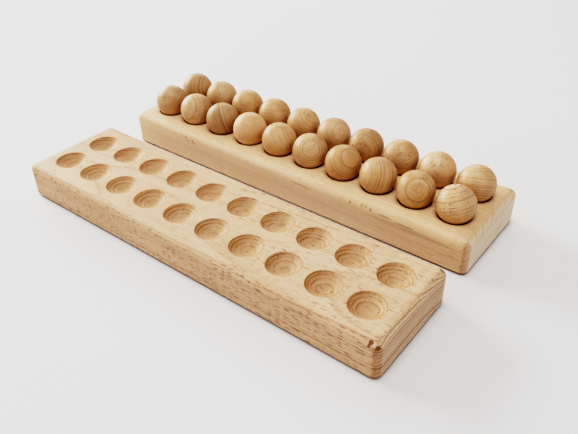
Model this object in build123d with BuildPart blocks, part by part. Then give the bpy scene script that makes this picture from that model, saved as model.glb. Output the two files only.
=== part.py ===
from build123d import *
import os

# A wooden counting and sowing set: two beech trays and twenty turned balls.
# Each tray has two rows of ten shallow bowl-shaped hollows. The front tray is
# empty, and the back tray holds a ball in every hollow.
#
# Frame: millimetres, +Z up, the table top at Z = 0. X runs along the trays and
# Y from the front tray to the back tray. The origin is under the middle of the set.

# Driving dimensions
tray_length = 290.0
tray_width = 74.0
tray_height = 25.0
tray_spacing = 99.6         # from one tray's centre line to the other's

hollows_per_row = 10
row_count = 2
hollow_pitch = 27.6         # along a row
row_pitch = 29.2            # from row to row
hollow_depth = 4.8
hollow_sphere_radius = 15.0

ball_diameter = 25.0
seat_gap = 0.1              # a resting ball's clearance above the hollow's lowest point

# Edge treatment
corner_radius = 4.8         # the four upright corners
top_round = 4.7             # the long and short top edges
bottom_round = 2.6          # the edges that stand on the table
rim_round = 0.5             # the rim of each hollow

# Derived places
front_tray_y = -tray_spacing / 2
back_tray_y = tray_spacing / 2
hollow_centre_z = tray_height - hollow_depth + hollow_sphere_radius
ball_centre_z = tray_height - hollow_depth + seat_gap + ball_diameter / 2


def make_tray(label, centre_y):
    """One solid beech block with rounded edges and two rows of hollows."""
    with BuildPart() as tray:
        with BuildSketch():
            with Locations((0, centre_y)):
                RectangleRounded(tray_length, tray_width, corner_radius)
        extrude(amount=tray_height)
        top_outline = tray.faces().sort_by(Axis.Z)[-1].edges()
        fillet(top_outline, top_round)
        foot_outline = tray.faces().sort_by(Axis.Z)[0].edges()
        fillet(foot_outline, bottom_round)
        with Locations((0, centre_y, hollow_centre_z)):
            with GridLocations(hollow_pitch, row_pitch, hollows_per_row, row_count):
                Sphere(hollow_sphere_radius, mode=Mode.SUBTRACT)
        rims = tray.faces().filter_by(Plane.XY).sort_by(Axis.Z)[-1].inner_wires()
        fillet([edge for rim in rims for edge in rim.edges()], rim_round)
    tray.part.label = label
    return tray


def make_ball(label, centre):
    """One turned ball, as a half-disc turned about the upright axis."""
    with BuildPart() as ball:
        with BuildSketch(Plane.XZ.offset(-centre.Y)):
            with BuildLine():
                half_round = CenterArc((centre.X, centre.Z), ball_diameter / 2, -90, 180)
                Line(half_round @ 1, half_round @ 0)
            make_face()
        revolve(axis=Axis((centre.X, centre.Y, 0), (0, 0, 1)))
    ball.part.label = label
    return ball


os.makedirs("parts", exist_ok=True)

for label, centre_y in (("front_tray", front_tray_y), ("back_tray", back_tray_y)):
    tray = make_tray(label, centre_y)
    export_step(tray.part, f"parts/{label}.step")

# Every hollow of the back tray holds a ball, numbered from the left.
first_hollow_x = -hollow_pitch * (hollows_per_row - 1) / 2
for row_name, row_side in (("near", -1), ("far", 1)):
    row_y = back_tray_y + row_side * row_pitch / 2
    for index in range(hollows_per_row):
        label = f"ball_{row_name}_{index + 1:02d}"
        ball_x = first_hollow_x + index * hollow_pitch
        ball = make_ball(label, Vector(ball_x, row_y, ball_centre_z))
        export_step(ball.part, f"parts/{label}.step")
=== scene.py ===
"""Two beech counting trays, one empty and one holding twenty turned balls."""
import math

import bpy
from mathutils import Matrix, Vector


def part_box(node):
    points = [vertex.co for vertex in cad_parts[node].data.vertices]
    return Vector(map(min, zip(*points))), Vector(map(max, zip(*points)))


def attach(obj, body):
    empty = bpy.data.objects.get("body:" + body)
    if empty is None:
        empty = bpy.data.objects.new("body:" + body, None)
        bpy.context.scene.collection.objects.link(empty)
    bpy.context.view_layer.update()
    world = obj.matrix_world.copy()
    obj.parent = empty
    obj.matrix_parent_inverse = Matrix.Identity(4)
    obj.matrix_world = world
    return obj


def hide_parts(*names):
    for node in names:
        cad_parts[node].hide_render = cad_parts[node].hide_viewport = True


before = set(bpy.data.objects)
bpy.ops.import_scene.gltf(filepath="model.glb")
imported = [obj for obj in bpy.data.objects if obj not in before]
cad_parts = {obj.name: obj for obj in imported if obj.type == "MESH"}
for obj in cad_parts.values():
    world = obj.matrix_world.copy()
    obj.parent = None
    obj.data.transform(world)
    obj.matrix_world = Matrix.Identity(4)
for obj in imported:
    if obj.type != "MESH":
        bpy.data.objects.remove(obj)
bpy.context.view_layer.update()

MM = 0.001

# The camera's direction, turn, place and lens, in the frame of the set
CAMERA_AZIMUTH = math.radians(38.63)      # towards +X from straight in front
CAMERA_ELEVATION = math.radians(35.70)    # above the floor
CAMERA_ROLL = math.radians(-1.27)
CAMERA_POSITION = Vector((242.3, -275.9, 253.7)) * MM
CAMERA_LENS = 39.49                       # millimetres, on a 36 mm wide sensor

CAMERA_FORWARD = Vector((
    -math.sin(CAMERA_AZIMUTH) * math.cos(CAMERA_ELEVATION),
    math.cos(CAMERA_AZIMUTH) * math.cos(CAMERA_ELEVATION),
    -math.sin(CAMERA_ELEVATION),
))
CAMERA_RIGHT = CAMERA_FORWARD.cross(Vector((0, 0, 1))).normalized()
CAMERA_UP = CAMERA_RIGHT.cross(CAMERA_FORWARD)

# How the camera shows light: deep shade falls off, and bright wood and paper stay under white. Each pair
# is an amount of light and how it is shown, between black, which stays black, and the brightest light.
TONE_CURVE = ((0.035, 0.011), (0.10, 0.105), (0.18, 0.262), (0.30, 0.480), (0.45, 0.650), (0.65, 0.765))
TONE_WHITE = 0.810                        # how the brightest light is shown

# The room: its light on the set, and how bright it looks behind the set
ROOM_COLOUR = (1.0, 0.985, 0.975, 1)
ROOM_LIGHT = 0.17
ROOM_SEEN = 0.62
FLOOR_RADIUS = 3.0                        # metres
FLOOR_COLOUR = (0.80, 0.79, 0.785, 1)

# The trays' shape, in millimetres
HOLLOW_SPHERE = 15.0
HOLLOW_DEPTH = 4.8
RIM_ROUND = 0.5
TRAY_HEIGHT = 25.0
CORNER_ROUND = 4.8
TOP_ROUND = 4.7
FOOT_ROUND = 2.6
PITCH_ALONG = 27.6
PITCH_ACROSS = 29.2
PER_ROW = 10
ROWS = ("near", "far")

# The balls' shape, in millimetres
POLE_FLAT = 1.7                           # radius of the small flat a lathe leaves at each end
LATHE_RIDGE = 0.012                       # height of the faint turning ridges
LATHE_TURNS = 34                          # turning ridges from end to end

# How much of its clean wood's light a place gives back: the edge that a tray stands on, darkened as painted
# shade for the dark line where it meets the floor, and the hollows' end walls, where the cutter went across
# the grain, darkened partly for the end grain and partly as painted shade on the wall the window lights
FOOT_SHADE_TINT = (0.36, 0.20, 0.12, 1)
FOOT_SHADE_FULL_TO = 1.1                       # height up to which the foot is wholly darkened by the painted shade, in millimetres
FOOT_SHADE_ENDS_AT = 2.5                     # height at which the painted shade ends
CUT_ACROSS_AND_SHADE_TINT = (0.83, 0.73, 0.61, 1)

# Stains that the trays' own marks are made of; the pale one is painted light, the honey one painted shade,
# and the rubbed one also serves for painted shade
BURNT = (0.035, 0.022, 0.016, 1)
SCORCHED = (0.17, 0.065, 0.026, 1)
RUBBED_AND_SHADE = (0.30, 0.16, 0.075, 1)
PAINTED_SHADE_HONEY = (0.50, 0.32, 0.18, 1)
PAINTED_LIGHT_PALE = (0.80, 0.61, 0.44, 1)
BARE = (0.66, 0.49, 0.35, 1)

# How fine each part of the beech is, as cells or waves per millimetre along the grain, across it and out
SLOW_WAVES = (0.011, 0.032, 0.032)
FINE_WAVES = (0.05, 0.22, 0.22)
FIBRES = (0.045, 1.25, 1.25)
PATCHES = (0.02, 0.09, 0.09)
CROWDS = (0.03, 0.09, 0.09)
FINE_PORES = (0.30, 2.3, 2.3)
LONG_PORES = (0.15, 1.30, 1.30)
DASHES = (0.20, 1.25, 1.05)
BLOTCHES = (0.20, 0.42, 0.34)
RAGGEDNESS = (0.9, 0.9, 0.9)
GRAIN_RELIEF = 0.12                       # how deep the bump makes an open pore, in millimetres

# Mesh fineness
BALL_STEPS = 96
BALL_RINGS = 72
SIDE_STEPS = 16                           # points on each side of a hollow's cell
BOWL_RINGS = 15
RIM_RINGS = 4
FLAT_RINGS = 4
CORNER_STEPS = 10
ROUND_STEPS = 8
WALL_STEPS = 12
FOOT_STEPS = 4


# ---------------------------------------------------------------- meshes

def new_object(name, vertices, faces):
    """Makes a linked, smooth-shaded mesh object from points in millimetres."""
    mesh = bpy.data.meshes.new(name)
    mesh.from_pydata([Vector(v) * MM for v in vertices], [], faces)
    mesh.validate()
    mesh.polygons.foreach_set("use_smooth", [True] * len(mesh.polygons))
    mesh.update()
    made = bpy.data.objects.new(name, mesh)
    bpy.context.scene.collection.objects.link(made)
    return made


def bowl_profile():
    """Radius and height of a hollow from its floor out to the flat top, the top being 0."""
    drop = HOLLOW_SPHERE - HOLLOW_DEPTH
    rim_centre = math.sqrt((HOLLOW_SPHERE + RIM_ROUND) ** 2 - (drop + RIM_ROUND) ** 2)
    meet_angle = math.atan2(rim_centre, drop + RIM_ROUND)
    points = []
    for step in range(1, BOWL_RINGS + 1):
        angle = meet_angle * step / BOWL_RINGS
        points.append((HOLLOW_SPHERE * math.sin(angle), drop - HOLLOW_SPHERE * math.cos(angle)))
    for step in range(1, RIM_RINGS + 1):
        angle = meet_angle * (1 - step / RIM_RINGS)
        points.append((rim_centre - RIM_ROUND * math.sin(angle), RIM_ROUND * (math.cos(angle) - 1)))
    return points


def cell_outline():
    """Points round a hollow's rectangular cell, anticlockwise from its lowest corner."""
    half_x, half_y = PITCH_ALONG / 2, PITCH_ACROSS / 2
    corners = [(-half_x, -half_y), (half_x, -half_y), (half_x, half_y), (-half_x, half_y)]
    points = []
    for side in range(4):
        start, end = corners[side], corners[(side + 1) % 4]
        for step in range(SIDE_STEPS):
            part = step / SIDE_STEPS
            points.append((start[0] + (end[0] - start[0]) * part, start[1] + (end[1] - start[1]) * part))
    return points


class MeshBuilder:
    """Collects points and faces, and joins points that fall on the same place."""

    def __init__(self):
        self.points = []
        self.faces = []
        self.index = {}

    def point(self, x, y, z):
        key = (round(x, 4), round(y, 4), round(z, 4))
        if key not in self.index:
            self.index[key] = len(self.points)
            self.points.append((x, y, z))
        return self.index[key]

    def face(self, *corners):
        """Adds a face, leaving out corners that fall on one point."""
        ring = []
        for corner in corners:
            if corner not in ring:
                ring.append(corner)
        if len(ring) > 2:
            self.faces.append(ring)

    def strip(self, inner, outer):
        """Joins two closed loops of the same length with a band of faces."""
        count = len(inner)
        for k in range(count):
            after = (k + 1) % count
            self.face(inner[k], outer[k], outer[after], inner[after])


def add_cell(builder, centre_x, centre_y, top):
    """One hollow and the flat wood round it, out to the cell's edge."""
    outline = cell_outline()
    count = len(outline)
    angles = [-0.75 * math.pi + 2 * math.pi * k / count for k in range(count)]
    floor_point = builder.point(centre_x, centre_y, top - HOLLOW_DEPTH)
    rings = []
    for radius, height in bowl_profile():
        rings.append([
            builder.point(centre_x + radius * math.cos(a), centre_y + radius * math.sin(a), top + height)
            for a in angles
        ])
    rim_radius = bowl_profile()[-1][0]
    for step in range(1, FLAT_RINGS + 1):
        part = step / FLAT_RINGS
        ring = []
        for angle, (edge_x, edge_y) in zip(angles, outline):
            x = rim_radius * math.cos(angle) * (1 - part) + edge_x * part
            y = rim_radius * math.sin(angle) * (1 - part) + edge_y * part
            ring.append(builder.point(centre_x + x, centre_y + y, top))
        rings.append(ring)
    for k in range(count):
        builder.face(floor_point, rings[0][k], rings[0][(k + 1) % count])
    for inner, outer in zip(rings, rings[1:]):
        builder.strip(inner, outer)


def tray_points(length, width, height):
    """The whole tray about its own middle, standing on 0: a closed mesh of four-sided faces."""
    builder = MeshBuilder()
    for row in range(len(ROWS)):
        for place in range(PER_ROW):
            centre_x = (place - (PER_ROW - 1) / 2) * PITCH_ALONG
            centre_y = (row - (len(ROWS) - 1) / 2) * PITCH_ACROSS
            add_cell(builder, centre_x, centre_y, height)

    grid_x, grid_y = PITCH_ALONG * PER_ROW / 2, PITCH_ACROSS * len(ROWS) / 2
    core_x, core_y = length / 2 - CORNER_ROUND, width / 2 - CORNER_ROUND
    steps_x, steps_y = SIDE_STEPS * PER_ROW, SIDE_STEPS * len(ROWS)
    signs = [(-1, -1), (1, -1), (1, 1), (-1, 1)]

    def loop(half_x, half_y, reach, z):
        """A rounded rectangle with the grid's spacing, reach millimetres outside its core."""
        points = []
        for side in range(4):
            start, end = signs[side], signs[(side + 1) % 4]
            steps = steps_x if side % 2 == 0 else steps_y
            out_x, out_y = ((0, -1), (1, 0), (0, 1), (-1, 0))[side]
            for step in range(steps + 1):
                part = step / steps
                x = half_x * (start[0] + (end[0] - start[0]) * part) + out_x * reach
                y = half_y * (start[1] + (end[1] - start[1]) * part) + out_y * reach
                points.append(builder.point(x, y, z))
            for step in range(1, CORNER_STEPS):
                angle = math.radians(90 * (side - 1) + 90 * step / CORNER_STEPS)
                x = half_x * end[0] + reach * math.cos(angle)
                y = half_y * end[1] + reach * math.sin(angle)
                points.append(builder.point(x, y, z))
        return points

    inner_reach = CORNER_ROUND - TOP_ROUND
    loops = [loop(grid_x, grid_y, 0, height), loop(core_x, core_y, inner_reach, height)]
    for step in range(1, ROUND_STEPS + 1):
        angle = math.pi / 2 * step / ROUND_STEPS
        reach = inner_reach + TOP_ROUND * math.sin(angle)
        loops.append(loop(core_x, core_y, reach, height - TOP_ROUND * (1 - math.cos(angle))))
    wall_top = height - TOP_ROUND
    for step in range(1, WALL_STEPS + 1):
        z = wall_top + (FOOT_ROUND - wall_top) * step / WALL_STEPS
        loops.append(loop(core_x, core_y, CORNER_ROUND, z))
    for step in range(1, FOOT_STEPS + 1):
        angle = math.pi / 2 * step / FOOT_STEPS
        reach = CORNER_ROUND - FOOT_ROUND * (1 - math.cos(angle))
        loops.append(loop(core_x, core_y, reach, FOOT_ROUND * (1 - math.sin(angle))))
    loops.append(loop(core_x, core_y, 0, 0))
    for inner, outer in zip(loops, loops[1:]):
        builder.strip(inner, outer)

    for i in range(steps_x):
        for j in range(steps_y):
            x0, x1 = (core_x * (2 * (i + d) / steps_x - 1) for d in (0, 1))
            y0, y1 = (core_y * (2 * (j + d) / steps_y - 1) for d in (0, 1))
            builder.face(
                builder.point(x0, y0, 0), builder.point(x0, y1, 0),
                builder.point(x1, y1, 0), builder.point(x1, y0, 0),
            )
    return builder.points, builder.faces


def chip(points, centre, reach, depth):
    """Presses the points near a place on an upper corner inwards, the deepest at the place itself."""
    centre = Vector(centre)
    corner_middle = Vector((centre.x * 0.95, centre.y * 0.85, centre.z * 0.80))
    inward = (corner_middle - centre).normalized()
    chipped = []
    for point in points:
        away = (Vector(point) - centre).length / reach
        chipped.append(Vector(point) + inward * depth * max(0.0, 1 - away ** 2))
    return chipped


def make_tray(node, chips=()):
    """Replaces a CAD tray with a finer mesh of the same shape. Each chip is a place, a reach and a depth."""
    low, high = (Vector(corner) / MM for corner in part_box(node))
    size = high - low
    points, faces = tray_points(size.x, size.y, size.z)
    for place, reach, depth in chips:
        points = chip(points, place, reach, depth)
    middle = Vector(((low.x + high.x) / 2, (low.y + high.y) / 2, low.z))
    tray = new_object(node + "_wood", points, faces)
    tray.location = middle * MM
    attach(tray, node)
    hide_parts(node)
    return tray


def ball_points(radius):
    """A ball turned about its own X axis: faint ridges, and a small flat at each end."""
    flat_angle = math.asin(POLE_FLAT / radius)
    profile = [(radius * math.cos(flat_angle), POLE_FLAT * share) for share in (0.5, 0.9)]
    for ring in range(BALL_RINGS + 1):
        share = ring / BALL_RINGS
        angle = flat_angle + (math.pi - 2 * flat_angle) * share
        reach = radius - LATHE_RIDGE * (1 - math.cos(2 * math.pi * LATHE_TURNS * share)) / 2
        profile.append((reach * math.cos(angle), reach * math.sin(angle)))
    profile += [(-x, y) for x, y in profile[1::-1]]
    points = [(profile[0][0], 0, 0)]
    for x, y in profile:
        for step in range(BALL_STEPS):
            angle = 2 * math.pi * step / BALL_STEPS
            points.append((x, y * math.cos(angle), y * math.sin(angle)))
    points.append((profile[-1][0], 0, 0))
    faces = []
    for step in range(BALL_STEPS):
        after = (step + 1) % BALL_STEPS
        faces.append((0, 1 + step, 1 + after))
        for ring in range(len(profile) - 1):
            first, second = 1 + ring * BALL_STEPS, 1 + (ring + 1) * BALL_STEPS
            faces.append((first + step, second + step, second + after, first + after))
        last = 1 + (len(profile) - 1) * BALL_STEPS
        faces.append((last + step, len(points) - 1, last + after))
    return points, faces


def log_axes(facing, grain):
    """How a ball lay in its log: a matrix of the directions along the grain, across it and out through
    the rings. Facing is where the rings lie flat and grain is how the grain runs, each as right, up and
    near for someone at the camera."""
    out, along = (
        (CAMERA_RIGHT * right + CAMERA_UP * up - CAMERA_FORWARD * near).normalized()
        for right, up, near in (facing, grain)
    )
    along = (along - out * along.dot(out)).normalized()
    return Matrix((along, out.cross(along), out)).transposed()


def make_ball(node, axes):
    """Replaces a CAD ball with one turned about its own grain."""
    low, high = (Vector(corner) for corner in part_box(node))
    points, faces = ball_points((high.z - low.z) / MM / 2)
    ball = new_object(node + "_wood", [axes @ Vector(point) for point in points], faces)
    ball.location = (low + high) / 2
    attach(ball, node)
    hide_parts(node)
    return ball


# ---------------------------------------------------------------- beech

class Nodes:
    """Short ways to add shader nodes to one node tree and wire them up."""

    def __init__(self, tree):
        self.tree = tree

    def add(self, kind, **settings):
        node = self.tree.nodes.new(kind)
        for key, value in settings.items():
            setattr(node, key, value)
        return node

    def feed(self, socket, value):
        """Sets a socket to a number or to what another node gives out, or leaves it for None."""
        if isinstance(value, bpy.types.NodeSocket):
            self.tree.links.new(value, socket)
        elif value is not None:
            socket.default_value = value

    def math(self, operation, first, second=None, third=None, clamp=False):
        node = self.add("ShaderNodeMath", operation=operation, use_clamp=clamp)
        for socket, value in zip(node.inputs, (first, second, third)):
            self.feed(socket, value)
        return node.outputs[0]

    def vector(self, operation, first, second=None):
        node = self.add("ShaderNodeVectorMath", operation=operation)
        for socket, value in zip(node.inputs, (first, second)):
            self.feed(socket, value)
        return node.outputs["Value" if operation in ("LENGTH", "DOT_PRODUCT") else "Vector"]

    def split(self, vector):
        node = self.add("ShaderNodeSeparateXYZ")
        self.feed(node.inputs[0], vector)
        return node.outputs

    def join(self, x, y, z):
        node = self.add("ShaderNodeCombineXYZ")
        for socket, value in zip(node.inputs, (x, y, z)):
            self.feed(socket, value)
        return node.outputs[0]

    def noise(self, point, stretch, detail=2.0, roughness=0.5):
        """Smooth noise from 0 to 1. The point is multiplied by stretch first."""
        node = self.add("ShaderNodeTexNoise", noise_dimensions="3D")
        self.feed(node.inputs["Vector"], self.vector("MULTIPLY", point, stretch))
        node.inputs["Scale"].default_value = 1.0
        node.inputs["Detail"].default_value = detail
        node.inputs["Roughness"].default_value = roughness
        return node.outputs["Fac"]

    def step(self, value, low, high, low_result=0.0, high_result=1.0):
        """A soft step from one result to the other as the value goes from low to high."""
        node = self.add("ShaderNodeMapRange", interpolation_type="SMOOTHSTEP")
        for socket, number in zip(node.inputs, (value, low, high, low_result, high_result)):
            self.feed(socket, number)
        return node.outputs[0]

    def mix(self, share, first, second, blend_type="MIX"):
        node = self.add("ShaderNodeMix", data_type="RGBA", blend_type=blend_type)
        self.feed(node.inputs["Factor"], share)
        self.feed(node.inputs[6], first)
        self.feed(node.inputs[7], second)
        return node.outputs[2]

    def flecks(self, point, stretch, size, kept):
        """Separate soft-edged grains, one in each cell of a stretched Voronoi pattern. About a share of
        them is kept."""
        node = self.add("ShaderNodeTexVoronoi", feature="F1", voronoi_dimensions="3D")
        self.feed(node.inputs["Vector"], self.vector("MULTIPLY", point, stretch))
        node.inputs["Scale"].default_value = 1.0
        chance = self.split(node.outputs["Color"])[0]
        grain = self.step(node.outputs["Distance"], size * 0.6, size, 1.0, 0.0)
        drawn = self.step(chance, 1 - kept, 1 - kept * 0.35)
        return self.math("MULTIPLY", grain, drawn)


def group_socket(tree, name, kind, way="INPUT"):
    tree.interface.new_socket(name=name, in_out=way, socket_type="NodeSocket" + kind)


def make_beech_group():
    """Solid beech in millimetres: X runs along the grain and Z out through the growth rings."""
    tree = bpy.data.node_groups.new("beech", "ShaderNodeTree")
    for name, kind in (
        ("Point", "Vector"), ("Facing", "Vector"),
        ("Pale", "Color"), ("Ring", "Color"), ("Pore", "Color"),
        ("Pith distance", "Float"), ("Ring width", "Float"), ("Ring crowding", "Float"),
        ("Ring strength", "Float"), ("Waviness", "Float"), ("Tilt", "Float"),
        ("Pores", "Float"), ("Dashes", "Float"), ("End tint", "Color"), ("End lines", "Float"),
        ("Patches", "Float"), ("Patch tint", "Color"), ("Calm end", "Float"), ("Blotches", "Float"),
    ):
        group_socket(tree, name, kind)
    for name, kind in (("Color", "Color"), ("Roughness", "Float"), ("Height", "Float")):
        group_socket(tree, name, kind, "OUTPUT")
    nodes = Nodes(tree)
    given = nodes.add("NodeGroupInput").outputs
    point = given["Point"]

    facing = nodes.split(given["Facing"])
    end = nodes.step(nodes.math("ABSOLUTE", facing[0]), 0.25, 0.9)
    side = nodes.step(nodes.math("ABSOLUTE", facing[1]), 0.35, 0.9)

    # How far out a point lies in the log, with slow waves and a fine wander
    slow = nodes.math("SUBTRACT", nodes.noise(point, SLOW_WAVES, 1.0), 0.5)
    fine = nodes.math("SUBTRACT", nodes.noise(point, FINE_WAVES, 3.0, 0.6), 0.5)
    wave = nodes.math("MULTIPLY", slow, given["Waviness"])
    wander = nodes.math("MULTIPLY", fine, nodes.math("MULTIPLY", given["Waviness"], 0.14))
    along, across, out = nodes.split(point)[:3]
    centred = nodes.join(0.0, across, nodes.math("ADD", out, given["Pith distance"]))
    radius = nodes.math("SUBTRACT", nodes.vector("LENGTH", centred), given["Pith distance"])
    radius = nodes.math("MULTIPLY_ADD", along, given["Tilt"], radius)
    radius = nodes.math("ADD", radius, nodes.math("ADD", wave, wander))

    # Growth rings: each darkens slowly to a thin late-wood line, then starts pale again
    outward = nodes.math("MAXIMUM", radius, 0.0)
    crowded = nodes.math("MULTIPLY", nodes.math("POWER", outward, 3.0), given["Ring crowding"])
    turn = nodes.math("ADD", nodes.math("DIVIDE", radius, given["Ring width"]), crowded)
    uneven = nodes.add("ShaderNodeTexNoise", noise_dimensions="1D")
    nodes.feed(uneven.inputs["W"], turn)
    uneven.inputs["Scale"].default_value = 0.45
    uneven.inputs["Detail"].default_value = 1.0
    turn = nodes.math("MULTIPLY_ADD", uneven.outputs["Fac"], 1.3, turn)
    part = nodes.math("FRACT", turn)
    number = nodes.add("ShaderNodeTexWhiteNoise", noise_dimensions="1D")
    nodes.feed(number.inputs["W"], nodes.math("FLOOR", turn))
    each = nodes.step(number.outputs["Value"], 0.0, 1.0, 0.35, 1.0)
    slope = nodes.math("MULTIPLY", nodes.step(part, 0.25, 0.95), 0.32)
    line = nodes.math("MULTIPLY", nodes.step(part, 0.80, 0.93), 0.68)
    shade = nodes.math("ADD", slope, line)
    shade = nodes.math("MULTIPLY", shade, nodes.step(part, 0.95, 1.0, 1.0, 0.0))
    calm_on_flat = nodes.step(facing[2], 0.93, 0.995, 1.25, 0.6)
    strength = nodes.math("MULTIPLY", given["Ring strength"], calm_on_flat)
    strength = nodes.math("MULTIPLY_ADD", end, given["End lines"], strength)
    shade = nodes.math("MULTIPLY", nodes.math("MULTIPLY", shade, each), strength, clamp=True)
    colour = nodes.mix(shade, given["Pale"], given["Ring"])

    # Fibres along the grain, and broad darker patches
    fibre = nodes.noise(point, FIBRES, 4.0, 0.65)
    tone = nodes.step(fibre, 0.25, 0.75, 0.88, 1.08)
    colour = nodes.mix(1.0, colour, nodes.join(tone, tone, tone), "MULTIPLY")
    patch = nodes.step(nodes.noise(point, PATCHES, 3.0), 0.35, 0.65)
    patch = nodes.math("MULTIPLY", patch, given["Patches"])
    colour = nodes.mix(patch, colour, nodes.mix(1.0, colour, given["Patch tint"], "MULTIPLY"))

    # Open pores, drawn out along the grain, in crowds. Towards low X there are fewer, down to the calm end
    fine_pores = nodes.flecks(point, FINE_PORES, 0.42, 0.75)
    long_pores = nodes.flecks(nodes.vector("ADD", point, (31, 17, 5)), LONG_PORES, 0.42, 0.50)
    crowd = nodes.step(nodes.noise(point, CROWDS, 2.0), 0.38, 0.62, 0.35, 1.0)
    fine_pores = nodes.math("MULTIPLY", fine_pores, 0.50)
    long_pores = nodes.math("MULTIPLY", long_pores, 0.90)
    pores = nodes.math("ADD", fine_pores, long_pores)
    crowd = nodes.math("MULTIPLY", crowd, nodes.step(along, -60.0, 90.0, given["Calm end"], 1.0))
    pores = nodes.math("MULTIPLY", nodes.math("MULTIPLY", pores, crowd), given["Pores"], clamp=True)
    colour = nodes.mix(pores, colour, given["Pore"])

    # Rays show on the long sides as short brown dashes, and towards low X as rounder blotches
    dashes = nodes.flecks(nodes.vector("ADD", point, (7, 53, 29)), DASHES, 0.42, 0.70)
    dashes = nodes.math("MULTIPLY", nodes.math("MULTIPLY", dashes, side), given["Dashes"], clamp=True)
    blotched = nodes.step(along, -110.0, -20.0, given["Blotches"], 0.0)
    dashes = nodes.math("MULTIPLY", dashes, nodes.math("SUBTRACT", 1.0, blotched))
    colour = nodes.mix(dashes, colour, given["Ring"])
    blotches = nodes.flecks(nodes.vector("ADD", point, (13, 71, 5)), BLOTCHES, 0.45, 0.55)
    blotches = nodes.math("MULTIPLY", nodes.math("MULTIPLY", blotches, side), blotched)
    colour = nodes.mix(blotches, colour, given["Ring"])

    # End grain has a tint of its own: darker on the balls, and paler on the trays, which is painted light
    # for the end faces that stand in shade
    colour = nodes.mix(end, colour, nodes.mix(1.0, colour, given["End tint"], "MULTIPLY"))

    # Pores are the roughest and the deepest, and late wood lies a little lower than the fibres round it
    satin = nodes.step(fibre, 0.2, 0.8, 0.50, 0.60)
    rough = nodes.math("ADD", nodes.math("MULTIPLY", pores, 0.15), satin)
    sunk = nodes.math("ADD", pores, nodes.math("MULTIPLY", shade, 0.25))
    height = nodes.math("SUBTRACT", nodes.math("MULTIPLY", fibre, 0.35), sunk)
    result = nodes.add("NodeGroupOutput").inputs
    nodes.feed(result["Color"], colour)
    nodes.feed(result["Roughness"], rough)
    nodes.feed(result["Height"], height)
    return tree


def tray_wear_and_shade(nodes, colour, hollow_shade_tint, corner_tint, marks):
    """Darkens a tray's hollows, painted shade for the shade that falls in them, and more on their end walls,
    where the cutter went across the grain: partly end grain, partly painted shade that dims the wall the
    window lights.
    Tints its upright corners, where the sander burnished them, and darkens its lowest edge, painted shade
    for the dark line where it meets the floor. Adds its own marks: each a place, a size, a stain and a
    strength."""
    coordinates = nodes.add("ShaderNodeTexCoord").outputs
    place = nodes.vector("MULTIPLY", coordinates["Object"], (1 / MM,) * 3)
    facing = nodes.split(coordinates["Normal"])
    x, y, z = nodes.split(place)[:3]
    beyond_x = nodes.math("SUBTRACT", nodes.math("ABSOLUTE", x), PITCH_ALONG * PER_ROW / 2)
    beyond_y = nodes.math("SUBTRACT", nodes.math("ABSOLUTE", y), PITCH_ACROSS * len(ROWS) / 2)
    inside = nodes.step(nodes.math("MAXIMUM", beyond_x, beyond_y), -0.5, 0.5, 1.0, 0.0)
    sunk = nodes.step(z, TRAY_HEIGHT - 0.12, TRAY_HEIGHT - 0.01, 1.0, 0.0)
    upward = nodes.step(facing[2], 0.2, 0.5)
    hollow = nodes.math("MULTIPLY", nodes.math("MULTIPLY", inside, sunk), upward)
    # painted shade: the hollows darken for the shade that falls in them, most of all in the back tray's
    # seats under the balls
    colour = nodes.mix(hollow, colour, nodes.mix(1.0, colour, hollow_shade_tint, "MULTIPLY"))
    # partly end grain and partly painted shade: the end walls darken, which dims the wall the window lights
    cut_across_and_shade = nodes.step(nodes.math("ABSOLUTE", facing[0]), 0.20, 0.62)
    cut_across_and_shade = nodes.math("MULTIPLY", cut_across_and_shade, hollow)
    colour = nodes.mix(cut_across_and_shade, colour, nodes.mix(1.0, colour, CUT_ACROSS_AND_SHADE_TINT, "MULTIPLY"))
    corner = nodes.math("ABSOLUTE", nodes.math("MULTIPLY", facing[0], facing[1]))
    corner = nodes.step(corner, 0.08, 0.42)
    colour = nodes.mix(corner, colour, nodes.mix(1.0, colour, corner_tint, "MULTIPLY"))
    # painted shade: the lowest few millimetres darken to stand for the dark contact line under the tray
    foot = nodes.step(z, FOOT_SHADE_FULL_TO, FOOT_SHADE_ENDS_AT, 1.0, 0.0)
    colour = nodes.mix(foot, colour, nodes.mix(1.0, colour, FOOT_SHADE_TINT, "MULTIPLY"))
    ragged = nodes.math("SUBTRACT", nodes.noise(place, RAGGEDNESS, 3.0, 0.6), 0.5)
    for centre, size, stain, strength in marks:
        away = nodes.vector("DIVIDE", nodes.vector("SUBTRACT", place, centre), size)
        reach = nodes.math("MULTIPLY_ADD", ragged, 0.9, nodes.vector("LENGTH", away))
        share = nodes.step(reach, 0.55, 1.05, strength, 0.0)
        colour = nodes.mix(share, colour, stain)
    return colour


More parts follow.
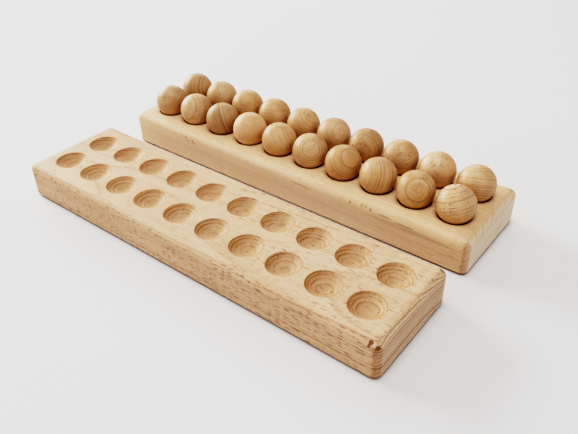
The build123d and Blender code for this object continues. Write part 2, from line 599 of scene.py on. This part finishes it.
def beech(name, beech_group, spot, axes, coat=0.0, wear_and_shade=None, **amounts):
    """A beech finish. Spot, in millimetres, and axes say where the piece lay in its log, and the amounts
    are the beech group's inputs."""
    material = bpy.data.materials.new(name)
    material.use_nodes = True
    nodes = Nodes(material.node_tree)
    shader = material.node_tree.nodes["Principled BSDF"]
    coordinates = nodes.add("ShaderNodeTexCoord").outputs
    wood = nodes.add("ShaderNodeGroup", node_tree=beech_group)
    for source, kind, use in (("Object", "POINT", "Point"), ("Normal", "VECTOR", "Facing")):
        mapping = nodes.add("ShaderNodeMapping", vector_type=kind)
        nodes.feed(mapping.inputs["Vector"], coordinates[source])
        mapping.inputs["Rotation"].default_value = axes.transposed().to_euler()
        if kind == "POINT":
            mapping.inputs["Scale"].default_value = (1 / MM,) * 3
            mapping.inputs["Location"].default_value = spot
        nodes.feed(wood.inputs[use], mapping.outputs[0])
    for key, value in amounts.items():
        wood.inputs[key.replace("_", " ").capitalize()].default_value = value
    bump = nodes.add("ShaderNodeBump")
    bump.inputs["Strength"].default_value = 0.35
    bump.inputs["Distance"].default_value = GRAIN_RELIEF * MM
    nodes.feed(bump.inputs["Height"], wood.outputs["Height"])
    colour = wood.outputs["Color"]
    if wear_and_shade:
        colour = tray_wear_and_shade(nodes, colour, *wear_and_shade)
    nodes.feed(shader.inputs["Base Color"], colour)
    nodes.feed(shader.inputs["Roughness"], wood.outputs["Roughness"])
    nodes.feed(shader.inputs["Normal"], bump.outputs[0])
    shader.inputs["Specular IOR Level"].default_value = 0.35
    shader.inputs["Coat Weight"].default_value = coat
    shader.inputs["Coat Roughness"].default_value = 0.35
    return material


# ---------------------------------------------------------------- stage

def set_tone():
    """Shows light along the tone curve."""
    settings = bpy.context.scene.view_settings
    settings.view_transform = "Standard"
    settings.use_curve_mapping = True
    response = settings.curve_mapping.curves[3]
    response.points[0].location = (0.0, 0.0)
    response.points[1].location = (1.0, TONE_WHITE)
    for light, shown in TONE_CURVE:
        response.points.new(light, shown)
    settings.curve_mapping.update()


def make_room():
    """A room that lights the set dimly, but stands behind it as a pale backdrop."""
    world = bpy.data.worlds.new("studio")
    world.use_nodes = True
    nodes = Nodes(world.node_tree)
    surround = world.node_tree.nodes["Background"]
    backdrop = nodes.add("ShaderNodeBackground")
    for background, strength in ((surround, ROOM_LIGHT), (backdrop, ROOM_SEEN)):
        background.inputs["Color"].default_value = ROOM_COLOUR
        background.inputs["Strength"].default_value = strength
    seen = nodes.add("ShaderNodeMixShader")
    nodes.feed(seen.inputs[0], nodes.add("ShaderNodeLightPath").outputs["Is Camera Ray"])
    nodes.feed(seen.inputs[1], surround.outputs[0])
    nodes.feed(seen.inputs[2], backdrop.outputs[0])
    nodes.feed(world.node_tree.nodes["World Output"].inputs["Surface"], seen.outputs[0])
    bpy.context.scene.world = world


def make_floor():
    """A plain pale floor of matt paper."""
    bpy.ops.mesh.primitive_circle_add(vertices=96, radius=FLOOR_RADIUS, fill_type="NGON", location=(0, 0, 0))
    floor = bpy.context.object
    floor.name = "floor"
    material = bpy.data.materials.new("floor_paper")
    material.use_nodes = True
    shader = material.node_tree.nodes["Principled BSDF"]
    shader.inputs["Base Color"].default_value = FLOOR_COLOUR
    shader.inputs["Roughness"].default_value = 0.85
    floor.data.materials.append(material)


def add_light(name, place, width, height, power, colour):
    """A soft area light aimed at the middle of the set. Its place and size are in metres."""
    data = bpy.data.lights.new(name, "AREA")
    data.shape = "RECTANGLE"
    data.size, data.size_y = width, height
    data.energy = power
    data.color = colour
    lamp = bpy.data.objects.new(name, data)
    lamp.location = place
    lamp.rotation_euler = (-Vector(place)).to_track_quat("-Z", "Y").to_euler()
    bpy.context.scene.collection.objects.link(lamp)


def make_camera():
    """Stands the camera at the set's front right, looking down along both trays."""
    turned_right = CAMERA_RIGHT * math.cos(CAMERA_ROLL) + CAMERA_UP * math.sin(CAMERA_ROLL)
    turned_up = CAMERA_UP * math.cos(CAMERA_ROLL) - CAMERA_RIGHT * math.sin(CAMERA_ROLL)
    matrix = Matrix((turned_right, turned_up, -CAMERA_FORWARD)).transposed().to_4x4()
    matrix.translation = CAMERA_POSITION
    data = bpy.data.cameras.new("camera")
    data.sensor_width = 36
    data.lens = CAMERA_LENS
    data.clip_start = 0.01
    camera = bpy.data.objects.new("camera", data)
    camera.matrix_world = matrix
    bpy.context.scene.collection.objects.link(camera)
    bpy.context.scene.camera = camera


make_camera()
set_tone()
make_room()
make_floor()

# A wide low window on the left, open sky behind and above it, and the room's own weak return light
LIGHTS = (
    # name, place, width, height, power and colour
    ("window", (-1.875, 0.13, 0.68), 1.4, 0.55, 33, (1.0, 0.99, 0.975)),
    ("window_back", (-0.87, 1.50, 1.00), 0.8, 0.8, 6.0, (1.0, 0.99, 0.98)),
    ("overhead", (0.15, -0.15, 2.0), 0.9, 0.9, 15.0, (1.0, 0.99, 0.985)),
    ("room_return", (1.50, -0.50, 0.90), 0.8, 0.8, 2.5, (1.0, 0.98, 0.96)),
    ("front_return", (-0.30, -1.92, 0.60), 0.9, 0.5, 5.0, (1.0, 0.98, 0.95)),
)
for light in LIGHTS:
    add_light(*light)

beech_group = make_beech_group()
STRAIGHT = Matrix.Identity(3)             # for a piece whose grain runs along X, with its rings facing up

# Each tray's own marks, in millimetres from the middle of its underside: centre, size, stain, strength. The
# ones noted below are painted light or painted shade; the rest are burns, knocks and rubbing
front_marks = (
    ((138.9, -35.1, 24.2), (1.8, 1.5, 1.8), SCORCHED, 0.95),
    ((138.6, -36.4, 22.8), (1.2, 1.5, 1.7), SCORCHED, 0.90),
    ((143.0, -35.4, 22.3), (1.8, 2.1, 1.5), SCORCHED, 0.95),
    ((141.3, -35.6, 23.9), (1.2, 1.5, 1.6), BARE, 0.80),
    ((141.6, -36.4, 20.6), (3.0, 2.4, 2.0), RUBBED_AND_SHADE, 0.40),
    ((143.0, 34.2, 24.2), (3.2, 2.6, 2.2), RUBBED_AND_SHADE, 0.60),
    ((142.3, 33.0, 24.6), (1.0, 0.8, 1.0), BURNT, 0.45),
    ((41.4, -15.0, 20.2), (0.9, 0.5, 1.0), BURNT, 0.60),
    ((96.6, 13.6, 20.2), (0.8, 0.5, 1.0), BURNT, 0.60),
    ((96.0, -36.0, 24.0), (16.0, 1.2, 1.6), RUBBED_AND_SHADE, 0.35),
    ((-146.0, 0.0, 25.0), (34.0, 60.0, 34.0), RUBBED_AND_SHADE, 0.12),
)
back_marks = (
    # painted light: lightens the front face where the front tray's shadow falls
    ((-40.0, -37.5, 11.0), (190.0, 5.0, 17.0), PAINTED_LIGHT_PALE, 0.50),
    ((-88.0, -36.6, 20.6), (0.8, 1.8, 2.2), RUBBED_AND_SHADE, 0.75),
    ((-86.2, -36.8, 18.6), (1.8, 1.6, 0.8), RUBBED_AND_SHADE, 0.60),
    ((-81.2, -36.7, 19.6), (0.8, 1.6, 1.8), RUBBED_AND_SHADE, 0.70),
    ((-79.6, -36.8, 18.2), (1.4, 1.6, 0.7), RUBBED_AND_SHADE, 0.55),
    ((62.0, -36.6, 21.6), (1.0, 1.4, 1.0), RUBBED_AND_SHADE, 0.80),
    ((70.9, -36.2, 22.1), (0.7, 1.6, 1.6), RUBBED_AND_SHADE, 0.75),
    ((73.8, -36.4, 22.4), (1.5, 1.4, 0.6), RUBBED_AND_SHADE, 0.60),
    ((77.6, -36.6, 21.6), (0.8, 1.8, 1.5), RUBBED_AND_SHADE, 0.80),
    ((88.0, -36.6, 20.9), (6.0, 2.0, 0.9), RUBBED_AND_SHADE, 0.45),
    ((102.0, -36.8, 19.8), (8.0, 2.0, 0.9), RUBBED_AND_SHADE, 0.45),
    ((22.0, -36.8, 19.4), (9.0, 2.0, 0.8), RUBBED_AND_SHADE, 0.35),
    ((105.0, -37.0, 17.6), (34.0, 3.0, 2.4), RUBBED_AND_SHADE, 0.30),
    ((140.8, 33.0, 23.9), (2.6, 2.2, 1.8), RUBBED_AND_SHADE, 0.50),
    # painted shade: darkens the end that the window lights, undoing the end tint's paleness there
    ((-147.0, 0.0, 12.0), (6.0, 60.0, 30.0), PAINTED_SHADE_HONEY, 0.60),
    # painted shade: the shade that the balls cast on the far end of the top
    ((141.0, 0.0, 25.0), (13.0, 60.0, 8.0), RUBBED_AND_SHADE, 0.20),
)
front_wood = beech(
    "front_tray_beech", beech_group, spot=(0, 16, 0), axes=STRAIGHT,
    pale=(0.655, 0.440, 0.285, 1), ring=(0.27, 0.135, 0.070, 1), pore=(0.15, 0.07, 0.032, 1),
    pith_distance=200, ring_width=3.4, ring_crowding=0.00028, ring_strength=0.60,
    # the end tint lightens the tray's end faces: painted light for the end that stands in shade
    waviness=3.0, tilt=-0.019, pores=0.95, dashes=0.95, end_tint=(1.14, 1.22, 1.31, 1), end_lines=2.0,
    patches=0.6, patch_tint=(0.92, 0.86, 0.78, 1), calm_end=0.4, blotches=0.55,
    # hollow tint, painted shade; corner tint, burnish; then the marks
    wear_and_shade=((0.89, 0.82, 0.73, 1), (0.74, 0.64, 0.56, 1), front_marks),
)
back_wood = beech(
    "back_tray_beech", beech_group, spot=(400, -50, 0), axes=STRAIGHT,
    pale=(0.75, 0.520, 0.330, 1), ring=(0.46, 0.27, 0.14, 1), pore=(0.22, 0.10, 0.045, 1),
    pith_distance=110, ring_width=3.0, ring_crowding=0.0, ring_strength=0.38,
    # the end tint lightens the tray's end faces: painted light for the end that stands in shade
    waviness=4.0, tilt=0.012, pores=0.45, dashes=0.15, end_tint=(1.17, 1.37, 1.72, 1), end_lines=0.60,
    patches=0.45, patch_tint=(0.94, 0.87, 0.76, 1), calm_end=1.0, blotches=0.0,
    # hollow tint, painted shade under the balls; corner tint, burnish; then the marks
    wear_and_shade=((0.78, 0.67, 0.54, 1), (0.72, 0.62, 0.54, 1), back_marks),
)
# Small knocks in the front tray's rounded corners, in the same millimetres: place, reach and depth
front_chips = (
    ((139.2, -35.6, 24.2), 1.9, 0.55),
    ((143.5, -35.6, 22.6), 1.9, 0.55),
    ((142.8, 34.4, 24.0), 2.4, 0.45),
)
for node, wood, chips in (("front_tray", front_wood, front_chips), ("back_tray", back_wood, ())):
    make_tray(node, chips).data.materials.append(wood)

# Each ball was cut from its own place in a log: which way its rings face and its grain runs, how wide
# and strong the rings are, how open its pores are, how pale it is and how warm
BALLS = {
    "near": (
        # facing             grain               width  strength pores  pale   warm
        ((-0.2, 0.8, 0.6), (0.9, -0.3, 0.3), 1.6, 0.35, 0.75, 0.88, 0.3),
        ((-0.62, 0.05, 0.79), (0.8, 0.0, 0.6), 2.6, 0.55, 0.60, 1.00, 0.3),
        ((0.93, 0.25, 0.2), (0.0, 0.5, -0.9), 2.7, 0.95, 0.20, 0.80, 0.6),
        ((0.2, 0.95, 0.2), (0.0, 0.2, 1.0), 2.0, 0.12, 0.25, 1.22, 0.0),
        ((0.85, 0.35, 0.4), (-0.3, 0.9, 0.2), 1.7, 0.60, 0.30, 1.05, 0.3),
        ((0.02, 0.05, 1.0), (0.9, 0.3, 0.0), 1.6, 0.85, 0.35, 0.98, 0.4),
        ((0.36, 0.21, 0.91), (-0.3, 0.9, 0.0), 2.4, 0.70, 0.25, 0.94, 0.6),
        ((-0.97, 0.1, 0.25), (0.1, 1.0, 0.0), 2.7, 0.78, 0.45, 1.00, 0.5),
        ((-0.1, -0.08, 0.99), (0.7, -0.7, 0.0), 1.7, 0.80, 0.95, 0.98, 0.7),
        ((-0.22, 0.96, 0.18), (0.8, 0.2, 0.5), 2.0, 0.80, 0.95, 1.10, 0.1),
    ),
    "far": (
        ((0.95, 0.0, 0.3), (0.0, 0.8, 0.6), 2.8, 0.70, 0.15, 0.86, 0.5),
        ((0.8, 0.4, 0.4), (-0.4, 0.9, 0.0), 2.4, 0.35, 0.15, 0.92, 0.4),
        ((0.1, 0.3, 0.95), (0.9, -0.1, 0.0), 3.2, 0.25, 0.45, 1.00, 0.6),
        ((0.1, 0.9, 0.3), (0.9, 0.0, 0.3), 3.0, 0.25, 0.15, 0.96, 0.7),
        ((0.6, 0.5, 0.6), (0.6, -0.75, 0.2), 2.4, 0.40, 0.90, 0.98, 0.6),
        ((0.37, 0.03, 0.93), (0.2, 0.9, 0.0), 1.3, 0.60, 0.30, 0.98, 0.3),
        ((-0.45, -0.45, 0.77), (0.5, 0.8, 0.0), 2.3, 0.95, 0.95, 0.92, 0.6),
        ((0.1, 0.4, 0.9), (0.97, -0.05, 0.2), 2.8, 0.30, 0.85, 0.94, 0.4),
        ((0.3, 0.2, 0.9), (0.4, 0.85, 0.3), 3.0, 0.15, 0.90, 1.14, 0.0),
        ((0.12, 0.98, 0.05), (0.9, 0.0, 0.4), 1.7, 0.85, 0.45, 1.08, 0.2),
    ),
}
for row, balls in BALLS.items():
    for index, (facing, grain, width, strength, pores, pale, warm) in enumerate(balls):
        node = f"ball_{row}_{index + 1:02d}"
        plain = (0.625 * pale, (0.416 - 0.030 * warm) * pale, (0.254 - 0.055 * warm) * pale, 1)
        ring = (plain[0] * 0.50, plain[1] * 0.38, plain[2] * 0.27, 1)
        axes = log_axes(facing, grain)
        wood = beech(
            node + "_beech", beech_group, spot=(137 * index, 0, 41.3 * index), axes=axes, coat=0.22,
            pale=plain, ring=ring, pore=(0.20, 0.09, 0.035, 1), pith_distance=90, ring_width=width,
            ring_crowding=0.0, ring_strength=strength, waviness=2.0, tilt=0.0,
            pores=pores, dashes=0.0, end_tint=(0.9, 0.88, 0.88, 1), end_lines=0.15,
            patches=0.75, patch_tint=(0.86, 0.76, 0.62, 1), calm_end=1.0, blotches=0.0,
        )
        make_ball(node, axes).data.materials.append(wood)
